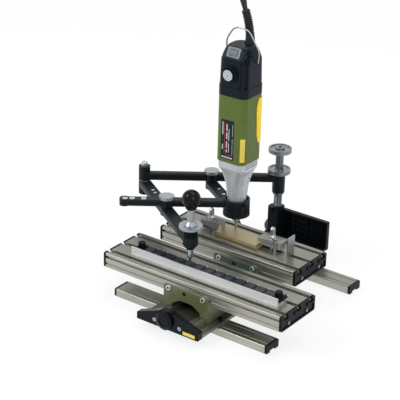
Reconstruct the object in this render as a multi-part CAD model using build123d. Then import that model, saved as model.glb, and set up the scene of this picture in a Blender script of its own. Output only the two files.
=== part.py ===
from build123d import *
import math
import os

# Pantograph engraving machine. Millimetres, +Z up, +Y along the beam to the back.
# The origin is the middle of the front foot rail's underside.

# Base
RAIL_HALF, RAIL_WIDE, RAIL_TALL = 114.0, 26.0, 10.8
REAR_RAIL_Y = 190.4
BEAM_HALF, BEAM_FRONT, BEAM_BACK, BEAM_TOP = 45.0, -47.0, 230.0, 20.8
RIDGE_HALF, FLANGE_TOP = 31.0, 14.6
BOSS_X, BOSS_Z, BOSS_R = -3.4, 23.4, 12.0
PLATE_SCREWS = ((-19.8, 18.8), (18.2, 18.8))

# Work tables
TABLE_WIDE, TABLE_BOTTOM, TABLE_TOP = 73.0, 39.4, 59.5
SLOT_PITCH, SLOT_MOUTH, SLOT_INNER = 27.0, 6.0, 11.0
PORT_Y, PORT_Z = 19.6, 45.4
FRONT_TABLE = (-127.9, 135.1, -17.0)
REAR_TABLE = (-118.8, 85.8, 87.9)
CAP_THICK = 3.5

# Template rail
RAIL_X0, RAIL_X1, RAIL_Y0 = -101.2, 120.0, 1.0
TILE_PITCH, TILE_WIDE, TILE_LONG = 15.25, 13.0, 19.6
KNOB_IN = 6.8

# Pantograph: two-to-one, four arms of one length
COLUMN = (-28.0, 223.0)
TRACER = (-22.0, 18.7)
ARM_LENGTH = 179.0
ARM_WIDE, ARM_Z0, ARM_Z1 = 10.6, 103.25, 113.75
LINK_WIDE, LINK_Z0, LINK_Z1 = 16.0, 92.5, 102.5
FRONT_ARM_WIDE, FRONT_ARM_Z0 = 13.4, 104.7
FRONT_ARM_TAIL = 60.6

# Drill
DRILL_R = 10.0
BODY_HALF, BODY_Z0, BODY_Z1 = 21.5, 172.3, 260.5
CAP_Z1 = 323.5
SLANT = math.degrees(math.atan2(11.6, 5.7))
DIAL_X, DIAL_Z = -1.6, 289.4
BAIL_Z = 303.2

# Cord
CORD_D = 6.0
COIL_CENTRE, COIL_MEAN_R, COIL_PITCH, COIL_TURNS = (-43.0, 286.0), 30.5, 6.5, 4
COIL_START, COIL_END = 285.0, 284.0
# Laid by hand: over the back in an arch, down behind the drill, along the floor.
CORD_ROUTE = (
    (-60.0, 139.0, 424.0), (-82.0, 164.0, 460.0), (-106.0, 203.0, 469.0), (-119.5, 239.0, 440.0),
    (-124.5, 256.5, 385.0), (-122.5, 265.0, 325.0), (-117.0, 272.0, 268.0), (-117.5, 274.0, 200.0),
    (-121.5, 274.0, 132.0), (-126.0, 273.0, 76.0), (-126.5, 266.5, 38.0), (-117.0, 252.5, 12.5),
    (-90.0, 237.5, 3.4),
)

os.makedirs("parts", exist_ok=True)


def save(node, *solids):
    solids = [s for part in solids for s in part.solids()]
    shape = solids[0] if len(solids) == 1 else Compound(children=solids)
    export_step(shape, f"parts/{node}.step")


def box(x0, x1, y0, y1, z0, z1):
    return Pos((x0 + x1) / 2, (y0 + y1) / 2, (z0 + z1) / 2) * Box(x1 - x0, y1 - y0, z1 - z0)


def post(x, y, z0, z1, r, r_top=None):
    tall = z1 - z0
    if r_top is None:
        return Pos(x, y, z0 + tall / 2) * Cylinder(r, tall)
    return Pos(x, y, z0 + tall / 2) * Cone(r, r_top, tall)


def pin_x(x0, x1, y, z, r):
    return Pos((x0 + x1) / 2, y, z) * Rot(0, 90, 0) * Cylinder(r, x1 - x0)


def pin_y(x, y0, y1, z, r):
    return Pos(x, (y0 + y1) / 2, z) * Rot(90, 0, 0) * Cylinder(r, y1 - y0)


def along_y(outline, y0, y1):
    """Extrude an (x, z) outline from y0 back to y1."""
    plane = Plane(origin=(0, y1, 0), x_dir=(1, 0, 0), z_dir=(0, -1, 0))
    return extrude(plane * outline, y1 - y0)


def along_x(outline, x0, x1):
    """Extrude a (y, z) outline from x0 to x1."""
    return extrude(Plane.YZ.offset(x0) * outline, x1 - x0)


def polygon(points):
    return make_face(Polyline(*points, close=True))


def rounded_square(x, y, z, wide, r):
    return Pos(x, y, z) * RectangleRounded(wide, wide, r)


def chamfered(part, size, *axes):
    """Chamfer the straight edges that run along the given axes."""
    edges = [e for axis in axes for e in part.edges().filter_by(axis)]
    return chamfer(edges, size)


def knurled_disc(x, y, z0, z1, r, bore, teeth=30):
    """Thumb wheel with a scalloped rim."""
    notch = 0.28 * 2 * math.pi * r / teeth
    cutters = Part()
    for i in range(teeth):
        a, out = 2 * math.pi * i / teeth, r + notch * 0.35
        cutters += post(x + out * math.cos(a), y + out * math.sin(a), z0 - 1, z1 + 1, notch)
    return post(x, y, z0, z1, r) - cutters - post(x, y, z0 - 1, z1 + 1, bore)


# ---------------------------------------------------------------- base

def foot_rail(y):
    section = Pos(0, RAIL_TALL / 2) * RectangleRounded(RAIL_WIDE, RAIL_TALL, 1.0)
    section -= Pos(0, RAIL_TALL / 2) * RectangleRounded(20, 5, 0.8)
    for s in (-1, 1):
        section -= Pos(s * 6.5, RAIL_TALL) * Rectangle(1.2, 1.0)
    return along_x(Pos(y, 0) * section, -RAIL_HALF, RAIL_HALF)


def foot_cap(x0, x1, y):
    cap = along_x(Pos(y, RAIL_TALL / 2) * RectangleRounded(RAIL_WIDE, RAIL_TALL, 1.6), x0, x1)
    return cap - box(x0 - 1, x1 + 1, y - 5.5, y + 5.5, -1, 2.4)


def base_beam():
    """Flat flanges on the foot rails and a raised ridge that guides the saddles."""
    section = Pos(0, (RAIL_TALL + FLANGE_TOP) / 2) * Rectangle(2 * BEAM_HALF, FLANGE_TOP - RAIL_TALL)
    section += Pos(0, (RAIL_TALL + BEAM_TOP) / 2) * Rectangle(2 * RIDGE_HALF, BEAM_TOP - RAIL_TALL)
    section -= Pos(0, BEAM_TOP) * Rectangle(39, 10)
    for s in (-1, 1):
        section -= Pos(s * 25.3, BEAM_TOP) * Rectangle(1.6, 1.6)
        section -= Pos(s * BEAM_HALF, 12.7) * Rectangle(1.6, 1.2)
        section -= Pos(s * 22, RAIL_TALL) * Rectangle(13, 5)
    beam = along_y(section, BEAM_FRONT, BEAM_BACK)
    for y in (0, REAR_RAIL_Y):
        for x in (-12, 12):
            beam -= post(x, y, 5, 30, 2.6)
    return beam


def beam_bolts():
    """Socket screws through the beam into the foot rails, in its channel and on its flanges."""
    heads = []
    for y in (0, REAR_RAIL_Y):
        for x in (-12, 12):
            heads.append(post(x, y, 15.8, 18.6, 4.2) - post(x, y, 17, 20, 2.0))
        for x in (-39.6, 39.6):
            heads.append(post(x, y, FLANGE_TOP, 17.6, 3.0) - post(x, y, 16.2, 20, 1.5))
    return heads


def front_plate():
    """Moulded end plate with two wings and a round boss."""
    wing = polygon([(-47, 11), (-47, 20.5), (-19, 31), (-11, 35), (3, 36), (10, 34), (46.5, 22), (46.5, 11)])
    plate = chamfered(along_y(wing, -55, BEAM_FRONT - 0.02), 0.8, Axis.Y)
    plate += pin_y(BOSS_X, -58.4, -50, BOSS_Z, BOSS_R)
    plate += Pos(BOSS_X, -59.4, BOSS_Z) * Rot(90, 0, 0) * Cone(BOSS_R, 8.6, 2.0)
    plate -= pin_y(BOSS_X, -61, -59.7, BOSS_Z, 5.2)
    for x, z in PLATE_SCREWS:
        plate -= pin_y(x, -56, -53.2, z, 2.7)
    return plate


def hex_socket_screw(x, y0, y1, z, head_r, socket_r):
    head = pin_y(x, y0, y1, z, head_r)
    facing = Plane(origin=(0, y0 + 1.2, 0), x_dir=(1, 0, 0), z_dir=(0, -1, 0))
    return head - extrude(facing * Pos(x, z) * RegularPolygon(socket_r, 6), 3)


def column_bracket():
    """Clamp block for the post, with a ribbed tray beside it."""
    bracket = chamfered(box(-36.5, -20.5, 212, 230.02, BEAM_TOP, 68.4), 1.0, Axis.Z)
    tray = along_y(Pos(0, 41) * RectangleRounded(94, 40.4, 1.5), 230.02, 236)
    tray -= along_y(Pos(0, 41) * RectangleRounded(88, 34.4, 1), 229, 233.5)
    for z in (27.5, 36, 44.5, 53):
        tray += box(-45, 45, 230.02, 234, z, z + 1.4)
    for x in (-44, -6, 15, 44):
        tray += box(x - 1, x + 1, 230.02, 234, 22, 60)
    tray += box(20, 40, 230.02, 234, 44.5, 57)
    bracket += tray + box(-36.5, -20.5, 228, 234, BEAM_TOP, 60)
    bracket += box(-47, 47, 212, 236, BEAM_TOP, BEAM_TOP + 3)
    for x0, x1 in ((-45, -RIDGE_HALF - 0.1), (RIDGE_HALF + 0.1, 45)):
        bracket += box(x0, x1, 212, 230, FLANGE_TOP, BEAM_TOP)
    return bracket - post(*COLUMN, 40, 80, 5.55) - pin_y(-30.2, 210, 214, 64.6, 1.5)


def bracket_bolts():
    spots = [(-41.5, 221), (8, 217.5), (40.5, 217.5)]
    top = BEAM_TOP + 3
    bolts = [post(x, y, top, top + 3.4, 3.2) - post(x, y, top + 2, 40, 1.6) for x, y in spots]
    clamp = pin_y(-30.2, 209.8, 212, 64.6, 2.6) + pin_y(-30.2, 212, 213.6, 64.6, 1.48)
    return bolts + [clamp - pin_y(-30.2, 209, 211, 64.6, 1.2)]


# ---------------------------------------------------------------- tables

def table_section(y0):
    """Extruded table: three tee slots on top, one wide and one narrow groove in each long side."""
    mid = y0 + TABLE_WIDE / 2
    tall = TABLE_TOP - TABLE_BOTTOM
    section = Pos(mid, TABLE_BOTTOM + tall / 2) * RectangleRounded(TABLE_WIDE, tall, 0.8)
    for k in (-1, 0, 1):
        y = mid + k * SLOT_PITCH
        section -= Pos(y, TABLE_TOP) * Rectangle(SLOT_MOUTH, 13)
        section -= Pos(y, TABLE_TOP - 4.5) * Rectangle(SLOT_INNER, 4)
        section -= Pos(mid + k * 28, TABLE_BOTTOM + 5.2) * RectangleRounded(14 - 3 * abs(k), 6, 1)
    for s in (-1, 1):
        side = mid + s * TABLE_WIDE / 2
        section -= Pos(mid + s * SLOT_PITCH / 2, 52.6) * RectangleRounded(8, 5.6, 1)
        section -= Pos(mid + s * PORT_Y, PORT_Z) * Circle(1.62)
        section -= Pos(side, 54.4) * Rectangle(6.0, 3.4)
        section -= Pos(side, 45.4) * Rectangle(2.6, 2.4)
    return section


def table_cap(x0, x1, y0, side):
    """End cap cut out at each tee slot, its three fields sunk behind a rim; side is +1 on the right."""
    mid = y0 + TABLE_WIDE / 2
    tall = TABLE_TOP - TABLE_BOTTOM
    face = Pos(mid, TABLE_BOTTOM + tall / 2) * RectangleRounded(TABLE_WIDE, tall, 2)
    sunk = Pos(mid, TABLE_BOTTOM + tall / 2) * RectangleRounded(TABLE_WIDE - 4.4, tall - 4.4, 1)
    for k in (-1, 0, 1):
        y = mid + k * SLOT_PITCH
        face -= Pos(y, TABLE_TOP) * Rectangle(SLOT_MOUTH, 13)
        face -= Pos(y, TABLE_TOP - 4.5) * Rectangle(SLOT_INNER, 4)
        sunk -= Pos(y, TABLE_TOP - 3) * Rectangle(SLOT_INNER + 3.6, 12)
    cap = along_x(face, x0, x1)
    outer = x1 if side > 0 else x0
    cap -= along_x(sunk, min(outer, outer - side * 1.3), max(outer, outer - side * 1.3))
    for s in (-1, 1):
        cap -= pin_x(x0 - 1, x1 + 1, mid + s * PORT_Y, PORT_Z, 1.62)
    return cap


def table_cap_screws(x_face, side, y0):
    """Round-head screws in the sunk fields of an end cap; side is +1 on the right end."""
    mid = y0 + TABLE_WIDE / 2
    floor = x_face - side * 1.3
    screws = []
    for s in (-1, 1):
        y = mid + s * PORT_Y
        screw = pin_x(*sorted((floor, floor + side * 1.2)), y, PORT_Z, 2.0)
        screw += pin_x(*sorted((floor, floor - side * 6)), y, PORT_Z, 1.5)
        ends = sorted((floor + side * 0.6, floor + side * 2))
        screw -= box(*ends, y - 2.4, y + 2.4, PORT_Z - 0.4, PORT_Z + 0.4)
        screws.append(screw)
    return screws


def saddle(y0):
    """Cross saddle that straddles the beam's ridge; y0 is the front side of its table."""
    y1 = y0 + TABLE_WIDE
    half, inner, ridge = 34.0, RIDGE_HALF + 0.12, BEAM_TOP + 0.1
    right = [(half, 39.35), (half, FLANGE_TOP + 0.15), (inner, FLANGE_TOP + 0.15), (inner, ridge),
             (23, ridge), (20.5, 26), (9, 32.5)]
    outline = polygon(right + [(-x, z) for x, z in reversed(right)])
    body = along_y(outline, y0 - 1.7, y1 + 1.7)
    for ya, yb in ((y0 - 1.7, y0 - 0.05), (y1 + 0.05, y1 + 1.7)):
        ear = Pos(0, 42) * RectangleRounded(2 * half, 13.2, 1.5)
        body += along_y(ear, ya, yb)
        for x in (-26, 26):
            body -= pin_y(x, ya - 1, yb + 1, 45.4, 1.05)
        body -= pin_y(-2.5, ya - 1, yb + 1, 43.6, 1.6)
    return body


def saddle_screws(y0):
    """Button-head clamping screws whose points run in the table's narrow groove."""
    y1 = y0 + TABLE_WIDE
    screws = []
    for x in (-26, 26):
        for out, face in ((-1, y0 - 1.7), (1, y1 + 1.7)):
            head = pin_y(x, *sorted((face, face + out * 1.9)), 45.4, 3.2)
            head -= pin_y(x, *sorted((face + out * 0.5, face + out * 3)), 45.4, 1.35)
            screws.append(head + pin_y(x, *sorted((face, face - out * 2.9)), 45.4, 1.0))
    return screws


# ---------------------------------------------------------------- template rail

def template_rail():
    """Channel for the engraving patterns, its front wall higher than the back one."""
    y0, y1, z0 = RAIL_Y0, RAIL_Y0 + 23.8, TABLE_TOP
    section = polygon([(y0, z0), (y1, z0), (y1, 65.0), (y1 - 1.3, 65.0), (y1 - 1.3, 62.8),
                       (y0 + 2.5, 62.8), (y0 + 2.5, 65.4), (y0 + 1.8, 65.9), (y0 + 1.8, 70), (y0, 70)])
    for z in (62, 64.4, 66.8):
        section -= Pos(y0, z) * Rectangle(0.9, 1.0)
    section += Pos(y0 + 18.5, z0 - 1.2) * Rectangle(5.7, 2.6)
    return along_x(section, RAIL_X0, RAIL_X1)


def template_tiles():
    """Row of engraving patterns, which get plain numerals in the scene."""
    tiles = []
    for i in range(13):
        x = -82.6 + i * TILE_PITCH
        tile = box(x - TILE_WIDE / 2, x + TILE_WIDE / 2, RAIL_Y0 + 2.7, RAIL_Y0 + 22.3, 62.82, 65.8)
        tiles.append(chamfered(tile, 0.5, Axis.Z))
    return tiles


def template_stops():
    """Blocks at both ends of the row, each held by a round thumb nut."""
    stops = []
    for x0, x1, knob in ((RAIL_X0 + 0.4, RAIL_X0 + 11.8, RAIL_X0 + KNOB_IN),
                         (RAIL_X1 - 12.6, RAIL_X1 - 0.4, RAIL_X1 - KNOB_IN)):
        stop = chamfered(box(x0, x1, RAIL_Y0 + 2.7, RAIL_Y0 + 22.3, 62.82, 66.6), 1.0, Axis.Z)
        stop += post(knob, 14.0, 66.6, 72.8, 4.6) + post(knob, 14.0, 72.8, 73.4, 4.6, 4.0)
        stops.append(stop - post(knob + 3, 20.4, 64.5, 70, 1.3))
    return stops


def template_stop_screws():
    screws = []
    for x in (RAIL_X0 + KNOB_IN, RAIL_X1 - KNOB_IN):
        screw = post(x + 3, 20.4, 64.6, 66.6, 1.25) + post(x + 3, 20.4, 66.6, 69.0, 1.8)
        screws.append(screw - post(x + 3, 20.4, 68, 70, 0.9))
    return screws


# ---------------------------------------------------------------- work holding

def clamp_bar(x0, x1, z0, z1, stud_x, jack_x, jack_y):
    bar = box(x0, x1, 117.5, 131.5, z0, z1)
    bar = chamfered(bar, 2.0, Axis.Z)
    bar -= post(stud_x, 124.5, z0 - 1, z1 + 1, 3.3)
    return bar - post(jack_x, jack_y, z0 - 1, z1 + 1, 2.0)


def clamp_stud(stud_x, z_top):
    """Tee bolt held in the middle slot."""
    stud = post(stud_x, 124.5, 54, z_top, 2.5)
    return stud + box(stud_x - 5, stud_x + 5, 119.3, 129.7, 53.2, 56.9)


def clamp_nut(stud_x, z0, z_top):
    """Flanged nut that narrows to a slim domed cap over the stud."""
    nut = post(stud_x, 124.5, z0, z0 + 1.4, 6.0)
    nut += extrude(Pos(stud_x, 124.5, z0 + 1.4) * RegularPolygon(5.0, 6), 2.6)
    nut += post(stud_x, 124.5, z0 + 4.0, z0 + 7.0, 4.6, 3.3) + post(stud_x, 124.5, z0 + 7.0, z_top - 2, 3.3)
    nut += post(stud_x, 124.5, z_top - 2, z_top, 3.3, 1.7)
    return nut - post(stud_x, 124.5, z0 - 1, z_top - 4, 2.52)


def jack_screw(x, y, z_top):
    head = post(x, y, z_top, z_top + 2.4, 2.9)
    return head + post(x, y, TABLE_TOP, z_top, 1.98)


def angle_stop():
    """Bent sheet stop with its foot on the table."""
    foot, top = TABLE_TOP, TABLE_TOP + 1.4
    outline = polygon([(46.9, foot), (59.9, foot), (59.9, 87.0), (58.5, 87.0), (58.5, top), (46.9, top)])
    stop = along_y(outline, 113.5, 129.5)
    return stop - post(52.6, 124.5, 55, 70, 2.5)


def angle_stop_screw():
    screw = post(52.6, 124.5, TABLE_TOP + 1.4, 64.4, 4.0)
    screw -= extrude(Pos(52.6, 124.5, 62.6) * RegularPolygon(2.0, 6), 4)
    screw += post(52.6, 124.5, 56, TABLE_TOP + 1.4, 2.4)
    return screw + box(48.0, 57.2, 119.3, 129.7, 53.2, 56.9)


def brass_blank():
    return Pos(-18.5, 124.5, 63.75) * Rot(0, 0, -2) * Box(66, 27, 2.0)


def support_strip():
    return Pos(-18.5, 124.5, 61.12) * Rot(0, 0, -2) * Box(66, 24, 3.24)


# ---------------------------------------------------------------- pantograph

def on_line(a, b, distance):
    length = math.dist(a, b)
    return (a[0] + (b[0] - a[0]) * distance / length, a[1] + (b[1] - a[1]) * distance / length)


def heading(a, b):
    return math.degrees(math.atan2(b[1] - a[1], b[0] - a[0]))


MID = ((COLUMN[0] + TRACER[0]) / 2, (COLUMN[1] + TRACER[1]) / 2)
HALF_SPAN = math.dist(COLUMN, TRACER) / 2
RISE = math.sqrt(ARM_LENGTH ** 2 - HALF_SPAN ** 2)
NORMAL = ((TRACER[1] - COLUMN[1]) / (2 * HALF_SPAN), (COLUMN[0] - TRACER[0]) / (2 * HALF_SPAN))
PIVOT_A = (MID[0] + NORMAL[0] * RISE, MID[1] + NORMAL[1] * RISE)
PIVOT_B = ((COLUMN[0] + PIVOT_A[0]) / 2, (COLUMN[1] + PIVOT_A[1]) / 2)
PIVOT_C = ((TRACER[0] + PIVOT_A[0]) / 2, (TRACER[1] + PIVOT_A[1]) / 2)


def arm_bar(a, b, before, after, wide, z0, z1):
    """Bar from pivot a to pivot b with its long edges chamfered."""
    length = math.dist(a, b) + before + after
    bar = chamfered(Box(length, wide, z1 - z0), 1.8, Axis.X)
    mid = on_line(a, b, math.dist(a, b) / 2 + (after - before) / 2)
    return Pos(*mid, (z0 + z1) / 2) * Rot(0, 0, heading(a, b)) * bar


def rear_arm():
    arm = arm_bar(COLUMN, PIVOT_A, 0, 0, ARM_WIDE, ARM_Z0, ARM_Z1)
    arm += post(*PIVOT_B, 102.8, 114.0, 8.0)
    arm += post(*COLUMN, 89.0, 116.5, 8.5)
    arm += post(*PIVOT_A, ARM_Z0, 122.7, 7.7)
    arm -= post(*COLUMN, 80, 120, 5.55)
    arm -= post(*PIVOT_A, 90, 130, 3.05)
    return arm - post(*PIVOT_B, 90, 130, 3.05)


def left_link():
    link = arm_bar(PIVOT_A, TRACER, -3, 0, LINK_WIDE, LINK_Z0, LINK_Z1)
    link += post(*PIVOT_A, 83.5, 102.5, 7.7)
    link += post(*TRACER, 91.0, 103.5, 9.5)
    link += post(*PIVOT_C, 92.0, 102.9, 8.0)
    for d in (35.3, 43.9):
        link -= post(*on_line(PIVOT_A, TRACER, d), 80, 110, 2.1)
    link -= post(*PIVOT_A, 80, 110, 3.05)
    link -= post(*PIVOT_C, 80, 110, 3.05)
    return link - post(*TRACER, 80, 110, 8.65)


def front_arm():
    wide, z0 = FRONT_ARM_WIDE, FRONT_ARM_Z0
    end = on_line(PIVOT_C, MID, -FRONT_ARM_TAIL + wide / 2)
    arm = arm_bar(PIVOT_C, MID, 0, 0, wide, z0, ARM_Z1)
    arm += arm_bar(end, PIVOT_C, 0, 0, wide, z0, ARM_Z1) + post(*end, z0, ARM_Z1, wide / 2)
    arm += post(*PIVOT_C, ARM_Z0, 114.0, 8.0)
    ring = post(*MID, 99.5, 116.4, 17.1)
    for z in (103.2, 108.6):
        ring -= post(*MID, z, z + 1.1, 18) - post(*MID, z, z + 1.1, 16.2)
    arm += ring
    side = heading(PIVOT_C, MID)
    lug = Pos(*MID, 107.5) * Rot(0, 0, side - 62) * Pos(19, 0, 0) * Box(10, 9, 9)
    arm += lug
    arm -= post(*MID, 105.0, 120, 14.5)
    arm -= post(*MID, 90, 120, DRILL_R)
    arm -= post(*PIVOT_C, 90, 130, 3.05)
    for d in (29.4, 44.2, 53.2):
        arm -= post(*on_line(PIVOT_C, MID, -d), 90, 130, 3.5)
    slit = Pos(*MID, 107.5) * Rot(0, 0, side - 62) * Pos(18, 0, 0) * Box(18, 1.2, 30)
    return arm - slit


def right_link():
    link = arm_bar(PIVOT_B, MID, 0, 0, LINK_WIDE, LINK_Z0, LINK_Z1)
    link += post(*PIVOT_B, 92.0, 102.5, 8.0)
    link -= post(*MID, 90, 110, 18.0)
    link += post(*MID, 94.3, 99.2, 17.3)
    bridge = arm_bar(MID, on_line(MID, PIVOT_B, 30), 0, 0, LINK_WIDE, 94.3, 99.2)
    link += bridge
    for d in (27.6, 44.2):
        link -= post(*on_line(PIVOT_B, MID, d), 80, 110, 2.1)
    link -= post(*PIVOT_B, 80, 110, 3.05)
    return link - post(*MID, 90, 110, DRILL_R + 0.35)


def pivot_bolt(pivot, z0, z1):
    """Shoulder bolt with a countersunk button under the lower arm."""
    return post(*pivot, z0, z1, 3.0) + post(*pivot, z0 - 2.2, z0, 3.6, 5.0)


def acorn_nut(pivot, z0):
    nut = extrude(Pos(*pivot, z0) * RegularPolygon(4.9, 6), 2.8)
    nut += post(*pivot, z0 + 2.8, z0 + 4.2, 4.1)
    return nut + Pos(*pivot, z0 + 4.2) * scale(Sphere(4.1), (1, 1, 0.5))


def thumb_screw(pivot):
    """Knurled flat head above the arm on its shoulder pin, nut below the link."""
    head = knurled_disc(*pivot, 114.3, 117.9, 10.2, 1.0) + post(*pivot, 114.1, 118.1, 9.0)
    return head + post(*pivot, 91.9, 114.3, 3.0) + post(*pivot, 89.9, 91.9, 4.4, 5.2)


def column_spindle():
    """Post that screws into the bracket, with a collar for the arm and a fluted top."""
    spindle = post(*COLUMN, 45, 116.75, 5.5) + post(*COLUMN, 116.75, 146.6, 5.3)
    for i in range(10):
        a = math.pi * i / 5
        spindle -= post(COLUMN[0] + 5.8 * math.cos(a), COLUMN[1] + 5.8 * math.sin(a), 124, 145, 0.9)
    return spindle + post(*COLUMN, 86.4, 88.95, 7.6)


def column_lock_disc():
    disc = knurled_disc(*COLUMN, 116.9, 122.4, 15.2, 5.36, 40)
    return disc - (post(*COLUMN, 121.4, 123, 12.6) - post(*COLUMN, 121.4, 123, 6.6))


def column_wheel():
    wheel = knurled_disc(*COLUMN, 146.6, 152.0, 15.4, 1.0, 40)
    wheel -= post(*COLUMN, 150.8, 153, 12.8) - post(*COLUMN, 150.8, 153, 6.4)
    wheel += post(*COLUMN, 146.6, 153.4, 6.0)
    return wheel - extrude(Pos(*COLUMN, 150.0) * RegularPolygon(2.9, 6), 8)


# ---------------------------------------------------------------- tracing stylus

def stylus_sleeve():
    sleeve = post(*TRACER, 90.0, 114.3, 8.6)
    for z in (104.6, 106.8, 109.0, 111.2):
        sleeve -= post(*TRACER, z, z + 0.9, 10) - post(*TRACER, z, z + 0.9, 8.0)
    sleeve += post(*TRACER, 85.5, 90.0, 5.0, 8.4)
    return sleeve - post(*TRACER, 80, 120, 4.0)


def stylus_disc():
    return knurled_disc(*TRACER, 114.4, 117.5, 14.7, 4.02, 40)


def stylus_rod():
    """Sliding tracer: needle, fluted grip with a flared foot, and the cup under the ball."""
    rod = post(*TRACER, 74.0, 117.55, 3.95) + post(*TRACER, 117.55, 118.8, 8.6)
    rod += post(*TRACER, 118.8, 122.6, 7.8, 4.6) + post(*TRACER, 122.6, 142.0, 4.4)
    for i in range(10):
        a = math.pi * i / 5
        rod -= post(TRACER[0] + 4.9 * math.cos(a), TRACER[1] + 4.9 * math.sin(a), 124.5, 138.5, 0.8)
    rod += post(*TRACER, 70.5, 74.0, 1.3, 3.6) + post(*TRACER, 67.8, 70.5, 1.3)
    return rod + post(*TRACER, 66.6, 67.8, 0.4, 1.3)


def stylus_ball():
    ball = Pos(*TRACER, 153.0) * Sphere(11.6) + post(*TRACER, 139.6, 145.0, 6.3, 8.9)
    return ball - post(*TRACER, 138, 142.0, 4.42)


# ---------------------------------------------------------------- drill

def drill_nose():
    """Cast nose: a flange under the housing, a rounded shoulder and a neck down to the collar."""
    rings = [(116.0, 24.2, 12.0), (121.8, 25.4, 12.2), (129.6, 26.7, 12.2), (138.9, 28.4, 12.0),
             (145.1, 30.6, 11.6), (151.3, 33.3, 11.0), (154.4, 34.9, 10.8), (157.0, 36.8, 10.4),
             (160.0, 39.2, 9.8), (163.0, 40.6, 9.5), (172.3, 41.4, 9.3)]
    nose = loft([rounded_square(*MID, z, wide, r) for z, wide, r in rings], ruled=True)
    nose += post(*MID, 95.0, 116.0, DRILL_R - 0.02)
    for s in (-1, 1):
        for z in (164.8, 168.2):
            nose -= box(*sorted((MID[0] + s * 18.9, MID[0] + s * 24)), MID[1] - 13, MID[1] + 13, z, z + 1.5)
        nose -= pin_x(*sorted((MID[0] + s * 12, MID[0] + s * 20)), MID[1] + 3.3, 147.6, 1.5)
    return nose - post(*MID, 90, 150, 3.06)


def drill_body():
    body = extrude(rounded_square(*MID, BODY_Z0, 2 * BODY_HALF, 9), BODY_Z1 - BODY_Z0)
    return body - drill_grip()


def drill_grip():
    """Soft pad that wraps the back of the housing behind a bowed seam."""
    x, y = MID
    seam = Spline((y + 10.0, 196), (y + 7.2, 206), (y + 6.0, 226), (y + 5.4, 242), (y + 9.5, 255))
    face = make_face([seam, Polyline((y + 9.5, 255), (y + 30, 255), (y + 30, 196), (y + 10.0, 196))])
    pad = along_x(face, x - 30, x + 30)
    outer = extrude(rounded_square(x, y, 190, 2 * BODY_HALF + 1.6, 9.8), 70)
    inner = extrude(rounded_square(x, y, 190, 2 * BODY_HALF - 3.0, 7.5), 70)
    return pad & (outer - inner)


def drill_cap():
    """Moulded head: slanted switch face, bezel for the dial, corner flutes and curved louvres."""
    x, y = MID
    cap = extrude(rounded_square(x, y, BODY_Z1, 2 * BODY_HALF + 0.4, 9.2), 12)
    rings = [(272.5, 42.4, 9.2), (306.0, 41.4, 9.8), (313.0, 38.6, 11.0), (318.5, 35.2, 11.0),
             (322.0, 31.0, 11.0), (CAP_Z1, 27.0, 11.0)]
    cap += loft([rounded_square(x, y, z, wide, r) for z, wide, r in rings], ruled=True)
    slant = polygon([(y - 30, 308.4), (y - 20.3, 308.4), (y - 12.6, 324.1), (y - 12.6, 330), (y - 30, 330)])
    cap -= along_x(slant, x - 30, x + 30)
    cap -= post(*BOOT_FOOT[:2], BOOT_FOOT[2] - 0.1, 319, 7.15) + post(*BOOT_FOOT[:2], 319, 340, 7.7)
    cap -= pin_x(x - 22, x - 16, BAIL_Y, BAIL_Z, 1.15) + pin_x(x + 16, x + 22, BAIL_Y, BAIL_Z, 1.15)
    cap += pin_y(x + DIAL_X, y - 24.6, y - 18, DIAL_Z, 10.8)
    cap -= pin_y(x + DIAL_X, y - 30, y - 20.9, DIAL_Z, 8.9)
    corner = Pos(x, y, 0) * Rot(0, 0, -45)
    for side in (-8.1, -0.6):
        cap -= corner * box(23.0, 32, side, side + 3.8, 273.2, 312)
    for r in (14.6, 11.7, 8.8):
        arc = pin_x(x + 15.5, x + 24, y - 5.5, 305.5, r) - pin_x(x + 15, x + 25, y - 5.5, 305.5, r - 1.6)
        cap -= arc & box(x + 15, x + 25, y - 25, y - 7, 304, 330)
    return cap - rocker_pocket() - pin_y(x + DIAL_X, y - 22, y - 8, DIAL_Z, 1.55)


def slant_place():
    """Middle of the slanted switch face, local z pointing out of it."""
    return Pos(MID[0], MID[1] - 16.45, 316.25) * Rot(SLANT, 0, 0)


def rocker_pocket():
    return slant_place() * Pos(0, 0, -2.6) * Box(14.2, 10.4, 5.6)


def switch_frame():
    frame = slant_place() * Pos(0, 0, -1.5) * Box(14.1, 10.3, 3.4)
    plate = extrude(slant_place() * Pos(0, 0, 0.02) * RectangleRounded(18.8, 12.6, 1.4), 0.98)
    return frame + plate - slant_place() * Box(12.0, 8.8, 8)


def rocker_switch():
    """Rocker with a shallow vee face, which tips sideways in its frame."""
    outline = polygon([(-5.3, -0.6), (-5.3, 2.3), (0, 1.2), (5.3, 1.2), (5.3, -0.6), (0, -2.4)])
    return slant_place() * Pos(0, 0, 0.2) * extrude(Plane.XZ.offset(-4.15) * outline, 8.3)


def speed_dial():
    x, y = MID[0] + DIAL_X, MID[1]
    dial = pin_y(x, y - 26.6, y - 21.0, DIAL_Z, 8.4)
    for i in range(16):
        a = math.pi * i / 8
        dial -= pin_y(x + 8.75 * math.cos(a), y - 28, y - 20, DIAL_Z + 8.75 * math.sin(a), 0.75)
    return dial + pin_y(x, y - 21.0, y - 9, DIAL_Z, 1.5)


BAIL_Y = MID[1] + 1.3
BOOT_FOOT = (MID[0] + 6.0, MID[1] + 9.0, 313.0)
BOOT_TIP = (BOOT_FOOT[0] - 9.5, BOOT_FOOT[1] + 0.5, 364.0)


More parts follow.
